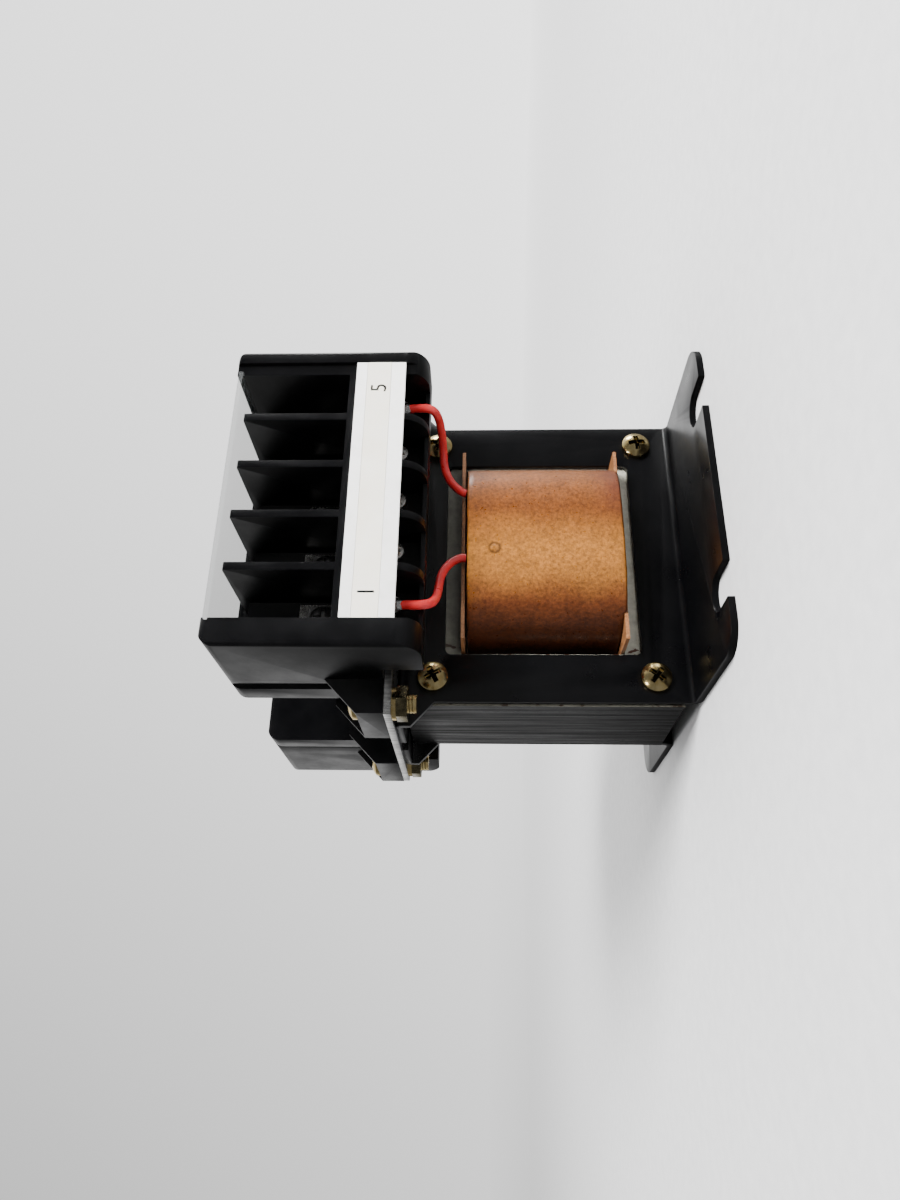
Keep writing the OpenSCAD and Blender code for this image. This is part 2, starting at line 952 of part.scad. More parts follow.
module core_spring_washers() {
    color("khaki")
        at_core_bolts(half_t + spring_t)
            spring_washer();
}

module core_nuts() {
    color("khaki")
        at_core_bolts(half_t + spring_t + nut_h)
            nut();
}

module block_screws() {
    color("khaki")
        at_ear_bolts(plate_top + ear_t)
            bolt(ear_t + plate_t, ear_bolt_past);
}

module block_spring_washers() {
    color("khaki")
        at_ear_bolts(plate_z - spring_t)
            spring_washer();
}

module block_nuts() {
    color("khaki")
        at_ear_bolts(plate_z - spring_t - nut_h)
            nut();
}

// ---- leads ----------------------------------------------------------------------------------

function unit(v) = v / norm(v);

// Direction of a route at point i, from its neighbours
function heading(p, i) = unit(p[min(i + 1, len(p) - 1)] - p[max(i - 1, 0)]);

// Ring of points round point i of a route, square to its heading
function ring(p, i) =
    let (t = i == 0 || i == len(p) - 1 ? [0, 0, -1] : heading(p, i),
         u = unit(cross(t, [0.6, 0.8, 0])),
         v = cross(t, u))
    [for (k = [0:lead_sides - 1]) p[i] + lead_d / 2 * (u * cos(360 * k / lead_sides)
                                                     + v * sin(360 * k / lead_sides))];

// Round tube swept along a route
module lead(p) {
    n = len(p);
    s = lead_sides;
    points = [for (i = [0:n - 1]) each ring(p, i)];
    sides = [for (i = [0:n - 2], k = [0:s - 1])
             each [[i * s + k, (i + 1) * s + k, (i + 1) * s + (k + 1) % s],
                   [i * s + k, (i + 1) * s + (k + 1) % s, i * s + (k + 1) % s]]];
    first = [for (k = [0:s - 1]) k];
    last = [for (k = [s - 1:-1:0]) (n - 1) * s + k];
    color("tomato")
        polyhedron(points, concat([first, last], sides));
}

module front_lead_first() {
    lead(route_first);
}

module front_lead_last() {
    lead(route_last);
}

module rear_lead_first() {
    mirror([0, 1, 0])
        lead(route_first);
}

module rear_lead_last() {
    mirror([0, 1, 0])
        lead(route_last);
}

e_laminations();
i_laminations();
front_bracket();
rear_bracket();
terminal_plate();
winding_tube();
upper_end_board();
lower_end_board();
primary_winding();
winding_insulation();
secondary_winding();
coil_wrap();
core_screws();
core_spring_washers();
core_nuts();
front_terminal_block();
rear_terminal_block();
front_terminals();
rear_terminals();
front_terminal_screws();
rear_terminal_screws();
front_square_washers();
rear_square_washers();
front_marker_strip();
rear_marker_strip();
front_marker_label();
rear_marker_label();
front_cover();
rear_cover();
block_screws();
block_spring_washers();
block_nuts();
front_lead_first();
front_lead_last();
rear_lead_first();
rear_lead_last();
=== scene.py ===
import json
import math

import bmesh
import bpy
from mathutils import Matrix, Vector, noise


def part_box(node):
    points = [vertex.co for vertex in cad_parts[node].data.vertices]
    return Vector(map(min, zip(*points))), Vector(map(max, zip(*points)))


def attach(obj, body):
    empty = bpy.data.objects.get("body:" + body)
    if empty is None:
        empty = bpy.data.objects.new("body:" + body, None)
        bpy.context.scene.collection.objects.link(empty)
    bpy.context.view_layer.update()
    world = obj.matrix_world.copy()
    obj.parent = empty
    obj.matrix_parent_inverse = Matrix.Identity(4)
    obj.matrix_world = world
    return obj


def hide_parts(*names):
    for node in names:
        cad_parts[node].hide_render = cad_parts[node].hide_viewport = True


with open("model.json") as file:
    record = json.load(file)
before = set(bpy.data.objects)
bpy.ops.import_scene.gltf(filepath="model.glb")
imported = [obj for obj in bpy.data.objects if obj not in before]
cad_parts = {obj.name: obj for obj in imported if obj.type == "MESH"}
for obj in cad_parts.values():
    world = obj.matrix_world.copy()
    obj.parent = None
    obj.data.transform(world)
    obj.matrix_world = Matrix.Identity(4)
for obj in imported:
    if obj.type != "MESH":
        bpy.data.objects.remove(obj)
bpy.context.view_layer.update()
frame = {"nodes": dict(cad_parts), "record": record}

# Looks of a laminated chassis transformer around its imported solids. Blender works in metres,
# and sizes here are written in millimetres times MM. The front side faces -Y.
MM = 0.001
SIDES = {"front": -1, "rear": 1}

# Radius and height of the screw heads
HEAD_RADIUS = 3.5 * MM
HEAD_HEIGHT = 2.6 * MM

PLATE_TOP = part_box("terminal_plate")[1].z
BRACKET_FACE = -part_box("core_screws")[0].y - HEAD_HEIGHT
STRIP_FACE = -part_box("front_marker_strip")[0].y
LABEL_LOW, LABEL_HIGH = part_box("front_marker_label")
COIL_LOW, COIL_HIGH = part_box("coil_wrap")
SEAM_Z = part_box("i_laminations")[0].z
POLE_PITCH = 12.6 * MM

# Thickness of one lamination, and of one layer of wire
SHEET_T = 0.5 * MM
WIRE_T = 0.4 * MM

# On the bare face of the core: varnish runs lie beyond RUNS_X at -X, and painted shade darkens the face
# over these spans toward the terminal plate and toward its sides
RUNS_X = -22 * MM
PAINTED_SHADE_TOP = (50 * MM, 53 * MM)
PAINTED_SHADE_SIDES = (36 * MM, 37 * MM)

# The coil's paper: exponent of its rounded outline, how much tighter its -X side sits, its
# thickness at the ends, and how far it laps past the end boards
OUTER_ROUND = 3.5
TIGHTER = 0.6 * MM
PAPER_WALL = 1.0 * MM
PAPER_LAP = 0.55 * MM

# Middle and radius of the one blister in the front of the paper
BLISTER = (-4.6 * MM, COIL_LOW.y, 46.5 * MM)
BLISTER_RADIUS = 1.15 * MM

# Nodes whose finish differs from their slot's usual one
FINISHES = {"core_nuts": "dulled_zinc", "block_nuts": "dulled_zinc"}

# Screws with a cross recess: the axis they lie along, and which way their heads face on it
DRIVEN = {"core_screws": ("Y", -1), "block_screws": ("Z", 1)}

# The cross: reach and half width of its arms, then the height of its cutter's two ends against
# the head's top, each with the scale of the cross there
CROSS_ARM = 2.2 * MM
CROSS_HALF = 0.6 * MM
CROSS_ENDS = ((0.8 * MM, 1.15), (-2.1 * MM, 0.62))

# Degrees by which the first screw of a set is turned about itself, and each next one further
FIRST_TURN = 38
NEXT_TURN = 23

# Threads of the M4 screws
THREAD_CREST = 2.1 * MM
THREAD_ROOT = 1.97 * MM
THREAD_PITCH = 0.7 * MM

# Beads of solder: half sizes, and how far out of the bracket and below the plate's top they lie
SOLDER_SIZE = (1.75 * MM, 1.15 * MM, 1.5 * MM)
SOLDER_OUT = 25.0 * MM
SOLDER_DOWN = 3.2 * MM

# Plain figures on the labels with their places along the front, then their size and thickness
FIGURES = (("1", -25.3 * MM), ("5", 26 * MM))
FIGURE_SIZE = 5.1 * MM
INK_T = 0.012 * MM

# Brightness of the surround in front of the object and behind it, for all but the camera
WORLD_FRONT = 0.13
WORLD_BACK = 1.6

# Half the floor's side, and the distances over which it fades into the backdrop, in metres
FLOOR_HALF = 6.0
FLOOR_FADE = (0.22, 0.9)

# Lamps: name, place, side in metres, watts, and whether only reflections see it
LAMPS = (
    ("key", (0.35, -1.0, 0.75), 0.5, 60, False),
    ("top", (0.1, 0.2, 1.4), 1.4, 22, False),
    ("glint_side", (1.1, -0.25, 0.3), 0.3, 6, True),
    ("glint_high", (-0.45, -0.6, 0.85), 0.2, 2, True),
)
LAMPS_AIM = (0, 0, 0.055)

# The camera stands close in front and to the left, level with the core
CAMERA_PLACE = Vector((-103.14, -206.77, 49.39)) * MM
CAMERA_FORWARD = Vector((0.4317, 0.9013, 0.0363))
CAMERA_RIGHT = Vector((0.0161, 0.0325, -0.9993))
CAMERA_LENS = 26.484
CAMERA_SENSOR = 36

# The leads' routes in millimetres, as in the part's source, written for the front side
ROUTES = {
    "first": [
        (25.2, -41.4, 66.1), (25.2, -41.6, 64.9), (25.1, -41.8, 63.5), (25, -41.8, 61.9),
        (24.8, -40.8, 60.4), (24.4, -38.2, 59.5), (23.8, -34.8, 59.1), (22.9, -31.4, 58.9),
        (21.5, -28.7, 58.8), (19.4, -26.9, 58.6), (17, -26.2, 57.9), (14.8, -26, 56.7),
        (13.2, -26, 55.3), (12.2, -26, 54.1), (11.8, -26, 53.1)],
    "last": [
        (-25.2, -41.4, 66.1), (-25.2, -41.6, 64.9), (-25.3, -41.8, 63.5), (-25.2, -41.8, 61.8),
        (-24.5, -40.9, 60.4), (-23.1, -39.2, 59.6), (-20.9, -36.8, 59.2), (-18.2, -34.2, 59),
        (-15.2, -31.6, 58.9), (-12.2, -29.2, 58.7), (-9.5, -27.4, 58), (-7.4, -26.4, 56.8),
        (-6.2, -26, 55.3), (-5.8, -26, 54.1), (-5.8, -26, 53.1)],
}
LEAD_RADIUS = 1.0 * MM
# How thick the red tubes are against their solids
LEAD_SHARE = 0.99


# ---- materials ------------------------------------------------------------------------------

class Look:
    """A material under construction: one Principled shader, and short calls that feed it."""

    def __init__(self, name, color, roughness, **sockets):
        self.material = bpy.data.materials.new(name)
        self.material.use_nodes = True
        self.tree = self.material.node_tree
        self.shader = self.tree.nodes["Principled BSDF"]
        self.shader.inputs["Base Color"].default_value = (*color, 1)
        self.shader.inputs["Roughness"].default_value = roughness
        for socket, value in sockets.items():
            self.shader.inputs[socket.replace("_", " ")].default_value = value
        self.place = self.node("ShaderNodeTexCoord").outputs["Object"]
        self.last_bump = None

    def node(self, kind, **settings):
        """Adds a shader node, with properties set by name."""
        made = self.tree.nodes.new(kind)
        for key, value in settings.items():
            setattr(made, key, value)
        return made

    def feed(self, socket, value):
        """Links an output to a socket, or sets the socket where the value is a constant."""
        if isinstance(value, bpy.types.NodeSocket):
            self.tree.links.new(value, socket)
        elif isinstance(value, tuple) and len(value) == 3 and socket.type == "RGBA":
            socket.default_value = (*value, 1)
        else:
            socket.default_value = value

    def math(self, operation, a, b=0.0):
        node = self.node("ShaderNodeMath", operation=operation)
        self.feed(node.inputs[0], a)
        self.feed(node.inputs[1], b)
        return node.outputs[0]

    def stretched(self, scale):
        node = self.node("ShaderNodeMapping")
        self.feed(node.inputs["Vector"], self.place)
        node.inputs["Scale"].default_value = scale
        return node.outputs[0]

    def noise(self, size, detail=3.0, roughness=0.55, stretch=None, distortion=0.0):
        """Noise with features of about size millimetres, optionally stretched along an axis."""
        node = self.node("ShaderNodeTexNoise")
        self.feed(node.inputs["Vector"], self.stretched(stretch) if stretch else self.place)
        node.inputs["Scale"].default_value = 1 / (size * MM)
        node.inputs["Detail"].default_value = detail
        node.inputs["Roughness"].default_value = roughness
        node.inputs["Distortion"].default_value = distortion
        return node.outputs["Fac"]

    def span(self, source, start, end, low=0.0, high=1.0):
        """Maps start..end of a source onto low..high, clamped."""
        node = self.node("ShaderNodeMapRange", clamp=True)
        for socket, value in zip(node.inputs, (source, start, end, low, high)):
            self.feed(socket, value)
        return node.outputs[0]

    def mix(self, factor, a, b):
        node = self.node("ShaderNodeMix", data_type="RGBA")
        self.feed(node.inputs["Factor"], factor)
        self.feed(node.inputs[6], a)
        self.feed(node.inputs[7], b)
        return node.outputs[2]

    def scaled(self, color, factor):
        """The colour, made lighter or darker by a factor."""
        node = self.node("ShaderNodeVectorMath", operation="SCALE")
        self.feed(node.inputs[0], color)
        self.feed(node.inputs["Scale"], factor)
        return node.outputs[0]

    def tones(self, source, stops):
        """Colours by place: stops are (value, colour) in rising order, blended between."""
        node = self.node("ShaderNodeValToRGB")
        low, high = stops[0][0], stops[-1][0]
        self.feed(node.inputs[0], self.span(source, low, high))
        ramp = node.color_ramp
        for index, (value, color) in enumerate(stops):
            where = (value - low) / (high - low)
            stop = ramp.elements[index] if index < 2 else ramp.elements.new(where)
            stop.position, stop.color = where, (*color, 1)
        return node.outputs["Color"]

    def axis(self, letter, source=None):
        """One component of a vector, or of the place on the object."""
        node = self.node("ShaderNodeSeparateXYZ")
        self.feed(node.inputs[0], source or self.place)
        return node.outputs[letter]

    def normal_axis(self, letter):
        """Size of one component of the true surface normal. No piece is turned or scaled."""
        normal = self.node("ShaderNodeNewGeometry").outputs["True Normal"]
        return self.math("ABSOLUTE", self.axis(letter, normal))

    def color(self, value):
        self.feed(self.shader.inputs["Base Color"], value)

    def roughness(self, value):
        self.feed(self.shader.inputs["Roughness"], value)

    def bump(self, height, depth, strength=1.0):
        """Adds relief of about depth millimetres on top of any given before."""
        node = self.node("ShaderNodeBump")
        node.inputs["Strength"].default_value = strength
        node.inputs["Distance"].default_value = depth * MM
        self.feed(node.inputs["Height"], height)
        if self.last_bump:
            self.feed(node.inputs["Normal"], self.last_bump)
        self.last_bump = node.outputs[0]
        self.feed(self.shader.inputs["Normal"], self.last_bump)


def enamel_look():
    """Black baked enamel on the folded brackets, with a faint orange peel and settled dust."""
    look = Look("black_enamel", (0.0015, 0.0015, 0.0018), 0.30, Specular_IOR_Level=0.4)
    grime = look.noise(9, detail=5)
    dust = look.math("GREATER_THAN", look.noise(0.35, detail=2), 0.735)
    tone = look.mix(look.span(grime, 0.35, 0.75), (0.0012, 0.0012, 0.0015), (0.0024, 0.0024, 0.0028))
    look.color(look.mix(look.math("MULTIPLY", dust, 0.3), tone, (0.02, 0.019, 0.017)))
    look.roughness(look.span(grime, 0.3, 0.75, 0.26, 0.38))
    look.bump(look.noise(0.7, detail=2), 0.006)
    look.bump(look.noise(6, detail=2), 0.008)
    return look.material


def block_look():
    """Gloss black thermoset of the terminal blocks, with fine handling marks."""
    look = Look("black_moulding", (0.0015, 0.0015, 0.0018), 0.34, Specular_IOR_Level=0.35)
    smear = look.noise(7, detail=5, roughness=0.6)
    scratch = look.noise(1.2, detail=6, roughness=0.7, stretch=(1, 1, 9))
    dust = look.math("GREATER_THAN", look.noise(0.3, detail=2), 0.74)
    tone = look.mix(look.span(smear, 0.4, 0.8), (0.0012, 0.0012, 0.0015), (0.0026, 0.0026, 0.003))
    look.color(look.mix(look.math("MULTIPLY", dust, 0.3), tone, (0.03, 0.029, 0.027)))
    look.roughness(look.span(smear, 0.3, 0.8, 0.28, 0.46))
    look.bump(scratch, 0.004)
    look.bump(look.noise(3, detail=2), 0.012)
    return look.material


def core_look():
    """Sheet faces in grey oxide with varnish runs, and a black varnished stack of fine edges."""
    look = Look("lamination_stack", (0.3, 0.29, 0.25), 0.45, Specular_IOR_Level=0.35)
    face = look.math("GREATER_THAN", look.normal_axis("Y"), 0.7)
    # Each sheet's edge has a tone of its own, with a fine gap between sheets and a seam at SEAM_Z
    sheet = look.math("MULTIPLY", look.axis("Y"), 1 / SHEET_T)
    gap = look.math("PINGPONG", sheet, 0.5)
    layer = look.node("ShaderNodeTexWhiteNoise", noise_dimensions="1D")
    look.feed(layer.inputs["W"], look.math("FLOOR", sheet))
    edge_tone = look.mix(layer.outputs["Value"], (0.002, 0.002, 0.0025), (0.022, 0.022, 0.023))
    streak = look.noise(1.3, detail=5, roughness=0.65, stretch=(1, 1, 0.03))
    from_seam = look.math("ABSOLUTE", look.math("SUBTRACT", look.axis("Z"), SEAM_Z))
    seam = look.math("LESS_THAN", from_seam, 0.12 * MM)
    edge_tone = look.mix(look.span(streak, 0.42, 0.6), edge_tone, (0.003, 0.003, 0.003))
    edge_tone = look.mix(seam, edge_tone, (0.001, 0.001, 0.001))
    # The bare face is mottled grey, with brown runs at -X and painted shade on its rims toward the plate
    # and the sides
    mottle = look.mix(look.span(look.noise(1.6, detail=6), 0.3, 0.7),
                      (0.30, 0.29, 0.235), (0.46, 0.44, 0.365))
    run = look.math("GREATER_THAN", look.noise(1.5, detail=4, stretch=(1, 1, 0.6), distortion=0.6), 0.57)
    beyond = look.math("LESS_THAN", look.axis("X"), RUNS_X)
    mottle = look.mix(look.math("MULTIPLY", run, beyond), mottle, (0.085, 0.03, 0.014))
    # Painted shade: the face darkens toward the terminal plate and toward the core's sides
    aside = look.math("ABSOLUTE", look.axis("X"))
    dark = look.math("MAXIMUM", look.span(look.axis("Z"), *PAINTED_SHADE_TOP, 0.0, 0.72),
                     look.span(aside, *PAINTED_SHADE_SIDES, 0.0, 0.8))
    mottle = look.mix(dark, mottle, (0.02, 0.02, 0.014))
    look.color(look.mix(face, edge_tone, mottle))
    look.roughness(look.mix(face, look.span(streak, 0.35, 0.65, 0.26, 0.62), (0.5, 0.5, 0.5)))
    lines = look.span(gap, 0.0, 0.16)
    look.bump(look.mix(face, look.math("SUBTRACT", lines, seam), (1, 1, 1)), 0.06)
    look.bump(look.noise(0.4, detail=3), 0.006)
    return look.material


def wrap_look():
    """Varnished kraft paper, amber and finely speckled, with a painted highlight band and painted shade
    across X; deep brown at -X partly from varnish that ran there.
    """
    look = Look("varnished_paper", (0.2, 0.08, 0.02), 0.34, Specular_IOR_Level=0.4)
    # Tones change along X, on borders that wander a few millimetres. They hold painted light: a painted
    # highlight band from -11 to -4 mm, painted shade toward +6 mm, and deep brown toward -X that is
    # partly painted shade and partly varnish that ran there
    wander = look.math("MULTIPLY", look.math("SUBTRACT", look.noise(6, detail=4), 0.5), 5 * MM)
    across = look.math("ADD", look.axis("X"), wander)
    paper = look.tones(across, [
        (-24 * MM, (0.035, 0.009, 0.003)), (-17 * MM, (0.085, 0.022, 0.005)),
        (-11 * MM, (0.21, 0.078, 0.013)), (-4 * MM, (0.24, 0.09, 0.014)),
        (6 * MM, (0.115, 0.034, 0.006)), (24 * MM, (0.165, 0.062, 0.022))])
    speckle = look.noise(0.75, detail=5, roughness=0.75)
    cloud = look.noise(5, detail=5, roughness=0.6)
    paper = look.scaled(paper, look.span(speckle, 0.30, 0.70, 0.45, 1.55))
    paper = look.scaled(paper, look.span(cloud, 0.3, 0.7, 1.14, 0.86))
    # A reddish stain low on the +X half
    height = look.math("ADD", look.axis("Z"), wander)
    low_end = look.span(height, COIL_LOW.z + 7 * MM, COIL_LOW.z + 1 * MM)
    far_side = look.span(look.axis("X"), 2 * MM, 12 * MM)
    stain = look.math("MULTIPLY", look.math("MULTIPLY", low_end, far_side), 0.55)
    paper = look.mix(stain, paper, (0.075, 0.018, 0.014))
    # A dark ring at the foot of the blister
    away = look.node("ShaderNodeVectorMath", operation="DISTANCE")
    look.feed(away.inputs[0], look.place)
    away.inputs[1].default_value = BLISTER
    foot = BLISTER_RADIUS + 0.1 * MM
    rim = look.math("ABSOLUTE", look.math("SUBTRACT", away.outputs["Value"], foot))
    look.color(look.scaled(paper, look.span(rim, 0.1 * MM, 0.5 * MM, 0.38, 1.0)))
    look.roughness(look.span(look.noise(1.1, detail=4), 0.3, 0.7, 0.26, 0.46))
    look.bump(speckle, 0.02)
    look.bump(look.noise(1.4, detail=3, stretch=(1, 1, 0.5)), 0.03)
    return look.material


def board_look():
    """Brown varnished pressboard with a faint fibre."""
    look = Look("pressboard", (0.2, 0.09, 0.035), 0.42)
    fibre = look.noise(0.5, detail=4, stretch=(1, 0.15, 1))
    look.color(look.mix(look.span(fibre, 0.3, 0.7), (0.15, 0.058, 0.022), (0.30, 0.135, 0.055)))
    look.roughness(look.span(fibre, 0.3, 0.7, 0.32, 0.55))
    look.bump(fibre, 0.02)
    return look.material


def winding_look():
    """Layers of enamelled copper wire, seen edge on."""
    look = Look("enamelled_copper", (0.5, 0.16, 0.06), 0.3, Metallic=0.85)
    turn = look.math("PINGPONG", look.math("MULTIPLY", look.axis("Z"), 1 / WIRE_T), 0.5)
    look.color(look.mix(look.span(look.noise(2), 0.3, 0.7), (0.42, 0.12, 0.045), (0.62, 0.24, 0.10)))
    look.bump(turn, 0.12)
    return look.material


def paper_look(name, dark, light, roughness):
    """Matt insulating paper with a faint fibre."""
    look = Look(name, light, roughness)
    fibre = look.noise(0.6, detail=5, roughness=0.65)
    look.color(look.mix(look.span(fibre, 0.3, 0.7), dark, light))
    look.bump(fibre, 0.008)
    return look.material


def zinc_look():
    """Bright zinc sheet: soft spangle on the faces and shear lines across the cut edges."""
    look = Look("zinc_sheet", (0.74, 0.75, 0.76), 0.28, Metallic=1.0)
    edge = look.math("LESS_THAN", look.normal_axis("Z"), 0.5)
    spangle = look.noise(4, detail=3)
    shear = look.noise(0.5, detail=3, stretch=(1, 1, 0.06))
    faces = look.mix(look.span(spangle, 0.3, 0.7), (0.56, 0.57, 0.58), (0.74, 0.75, 0.76))
    cut = look.mix(look.span(shear, 0.35, 0.65), (0.50, 0.50, 0.49), (0.92, 0.92, 0.90))
    look.color(look.mix(edge, faces, cut))
    look.roughness(look.span(spangle, 0.3, 0.7, 0.24, 0.40))
    look.bump(look.mix(edge, (0.5, 0.5, 0.5), shear), 0.03)
    return look.material


def plated_look(name, dark, light, low, high):
    """Plated metal with soft changes of tone and a roughness between low and high."""
    look = Look(name, light, low, Metallic=1.0)
    look.color(look.mix(look.span(look.noise(1.3, detail=4), 0.3, 0.7), dark, light))
    look.roughness(look.span(look.noise(0.5, detail=3), 0.3, 0.7, low, high))
    look.bump(look.noise(0.3, detail=3), 0.004)
    return look.material


def marker_look():
    """White plastic strip with a little handling dirt."""
    look = Look("marker_white", (0.80, 0.80, 0.80), 0.32)
    dirt = look.noise(5, detail=6, roughness=0.7)
    speck = look.math("GREATER_THAN", look.noise(0.45, detail=2), 0.76)
    tone = look.mix(look.span(dirt, 0.45, 0.8), (0.83, 0.82, 0.80), (0.70, 0.69, 0.66))
    look.color(look.mix(look.math("MULTIPLY", speck, 0.5), tone, (0.40, 0.34, 0.26)))
    look.roughness(look.span(dirt, 0.3, 0.8, 0.28, 0.5))
    look.bump(look.noise(2.5, detail=2), 0.01)
    return look.material


def label_look():
    """Aged cream paper under the strip's film."""
    look = Look("label_paper", (0.78, 0.76, 0.69), 0.5)
    stain = look.noise(8, detail=5)
    look.color(look.mix(look.span(stain, 0.35, 0.75), (0.80, 0.775, 0.69), (0.75, 0.70, 0.59)))
    look.bump(look.noise(0.4, detail=3), 0.005)
    return look.material


def cover_look():
    """Thin clear sheet with a faint grey body and hairlines."""
    look = Look("clear_sheet", (0.12, 0.125, 0.125), 0.08, Alpha=0.3)
    haze = look.noise(6, detail=5)
    look.roughness(look.span(haze, 0.35, 0.8, 0.05, 0.16))
    look.bump(look.noise(1.5, detail=6, stretch=(1, 8, 1)), 0.002)
    return look.material


def lead_look():
    """Soft red PVC with a slight bloom."""
    look = Look("red_pvc", (0.4, 0.014, 0.014), 0.34, Subsurface_Weight=0.05)
    look.shader.inputs["Subsurface Radius"].default_value = (1.2 * MM, 0.3 * MM, 0.2 * MM)
    bloom = look.noise(2.2, detail=4)
    look.color(look.mix(look.span(bloom, 0.3, 0.7), (0.32, 0.010, 0.012), (0.46, 0.019, 0.020)))
    look.roughness(look.span(bloom, 0.3, 0.7, 0.27, 0.45))
    look.bump(look.noise(0.8, detail=2), 0.01)
    return look.material


def ink_look():
    """Slightly worn black print."""
    look = Look("print_ink", (0.03, 0.03, 0.03), 0.5)
    look.color(look.mix(look.span(look.noise(0.2), 0.4, 0.7), (0.025, 0.025, 0.027), (0.07, 0.07, 0.07)))
    return look.material


def make_looks():
    """A look for each material slot of the record, then the ones that only this script uses."""
    return {
        "core": core_look(),
        "bracket": enamel_look(),
        "zinc_plate": zinc_look(),
        "pressboard": board_look(),
        "copper": winding_look(),
        "insulation_paper": paper_look("insulation_paper", (0.50, 0.34, 0.16), (0.66, 0.48, 0.27), 0.6),
        "varnished_wrap": wrap_look(),
        "yellow_zinc": plated_look("yellow_zinc", (0.80, 0.58, 0.22), (0.96, 0.80, 0.42), 0.14, 0.26),
        "block": block_look(),
        "tinned_brass": plated_look("tinned_brass", (0.60, 0.59, 0.56), (0.80, 0.79, 0.76), 0.2, 0.38),
        "grey_steel": plated_look("grey_steel", (0.26, 0.26, 0.26), (0.50, 0.50, 0.49), 0.28, 0.5),
        "marker_white": marker_look(),
        "label_paper": label_look(),
        "clear_cover": cover_look(),
        "lead_red": lead_look(),
        "solder": plated_look("solder", (0.62, 0.62, 0.62), (0.86, 0.86, 0.85), 0.16, 0.34),
        "ink": ink_look(),
        "dulled_zinc": plated_look("dulled_zinc", (0.10, 0.085, 0.05), (0.30, 0.26, 0.15), 0.18, 0.34),
        # Dark metal for the cross recesses: painted shade inside them
        "recess": plated_look("recess_shade", (0.012, 0.008, 0.004), (0.05, 0.034, 0.014), 0.4, 0.6),
    }


LOOKS = make_looks()


# ---- shared mesh helpers --------------------------------------------------------------------

def slot_of(node):
    """The material slot that the record gives a node."""
    for entry in frame["record"]["subparts"]:
        if entry["node"] == node:
            return entry["material_slot"]
    raise KeyError(node)


def add_piece(name, mesh, look):
    """Makes a piece of the object from a mesh. The look is for a mesh that has none yet."""
    piece = bpy.data.objects.new(name, mesh)
    bpy.context.scene.collection.objects.link(piece)
    if not mesh.materials:
        mesh.materials.append(LOOKS[look])
    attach(piece, "root")
    return piece


def mesh_from(name, bm, smooth=True, sharp=None):
    """Turns a bmesh into a mesh and frees it. Edges of more than sharp degrees stay crisp."""
    bmesh.ops.recalc_face_normals(bm, faces=bm.faces[:])
    for face in bm.faces:
        face.smooth = smooth
    if sharp:
        for edge in bm.edges:
            between_two = len(edge.link_faces) == 2
            edge.smooth = between_two and edge.calc_face_angle(0) < math.radians(sharp)
    mesh = bpy.data.meshes.new(name)
    bm.to_mesh(mesh)
    bm.free()
    return mesh


def head_centres(mesh, axis, way):
    """Middles of the screw heads' tops, found from the vertices near them."""
    k = "XYZ".index(axis)
    head = max(vert.co[k] * way for vert in mesh.vertices) * way
    groups = []
    for vert in mesh.vertices:
        if abs(head - vert.co[k]) < HEAD_HEIGHT - 0.2 * MM:
            group = next((g for g in groups if (vert.co - g[0]).length < 2.5 * HEAD_RADIUS), None)
            if group:
                group.append(vert.co.copy())
            else:
                groups.append([vert.co.copy()])
    centres = []
    for group in groups:
        low, high = (Vector([pick(v[n] for v in group) for n in range(3)]) for pick in (min, max))
        middle = (low + high) / 2
        middle[k] = head
        centres.append(middle)
    return sorted(centres, key=lambda c: (round(c.x, 4), round(c.z, 4), round(c.y, 4)))


def cross_cutter(centres, turns, facing):
    """A tapered cross at each centre, which goes into the head against its facing."""
    arm, half = CROSS_ARM, CROSS_HALF
    outline = [(arm, -half), (arm, half), (half, half), (half, arm), (-half, arm), (-half, half),
               (-arm, half), (-arm, -half), (-half, -half), (-half, -arm), (half, -arm), (half, -half)]
    lay = facing.to_track_quat("Z", "Y").to_matrix()
    bm = bmesh.new()
    for centre, turn in zip(centres, turns):
        top, bottom = ([bm.verts.new(centre + turn @ lay @ Vector((x * scale, y * scale, z)))
                        for x, y in outline] for z, scale in CROSS_ENDS)
        for n in range(len(outline)):
            m = (n + 1) % len(outline)
            bm.faces.new((bottom[n], bottom[m], top[m], top[n]))
        bm.faces.new(top)
        bm.faces.new(list(reversed(bottom)))
    return mesh_from("cutter", bm, False)


def cut_recesses(mesh, look, axis, way):
    """Turns each screw a little about itself and cuts its cross recess out to full width."""
    k = "XYZ".index(axis)
    centres = head_centres(mesh, axis, way)
    turns = [Matrix.Rotation(math.radians(FIRST_TURN + NEXT_TURN * count), 3, axis)
             for count in range(len(centres))]
    for centre, turn in zip(centres, turns):
        for vert in mesh.vertices:
            offset = vert.co - centre
            offset[k] = 0
            if offset.length < 1.5 * HEAD_RADIUS:
                vert.co += turn @ offset - offset
    facing = Vector([way if n == k else 0 for n in range(3)])
    made = [bpy.data.objects.new("cut", part) for part in (mesh, cross_cutter(centres, turns, facing))]
    # The cutter's faces carry the dark recess look into each head: painted shade in the recesses
    for thing, name in zip(made, (look, "recess")):
        thing.data.materials.append(LOOKS[name])
        bpy.context.scene.collection.objects.link(thing)
    cut = made[0].modifiers.new("recess", "BOOLEAN")
    cut.operation, cut.solver, cut.material_mode = "DIFFERENCE", "EXACT", "TRANSFER"
    cut.object = made[1]
    bpy.context.view_layer.update()
    ready = made[0].evaluated_get(bpy.context.evaluated_depsgraph_get())
    result = bpy.data.meshes.new_from_object(ready)
    result.name = mesh.name
    for thing in made:
        bpy.data.objects.remove(thing)
    return result


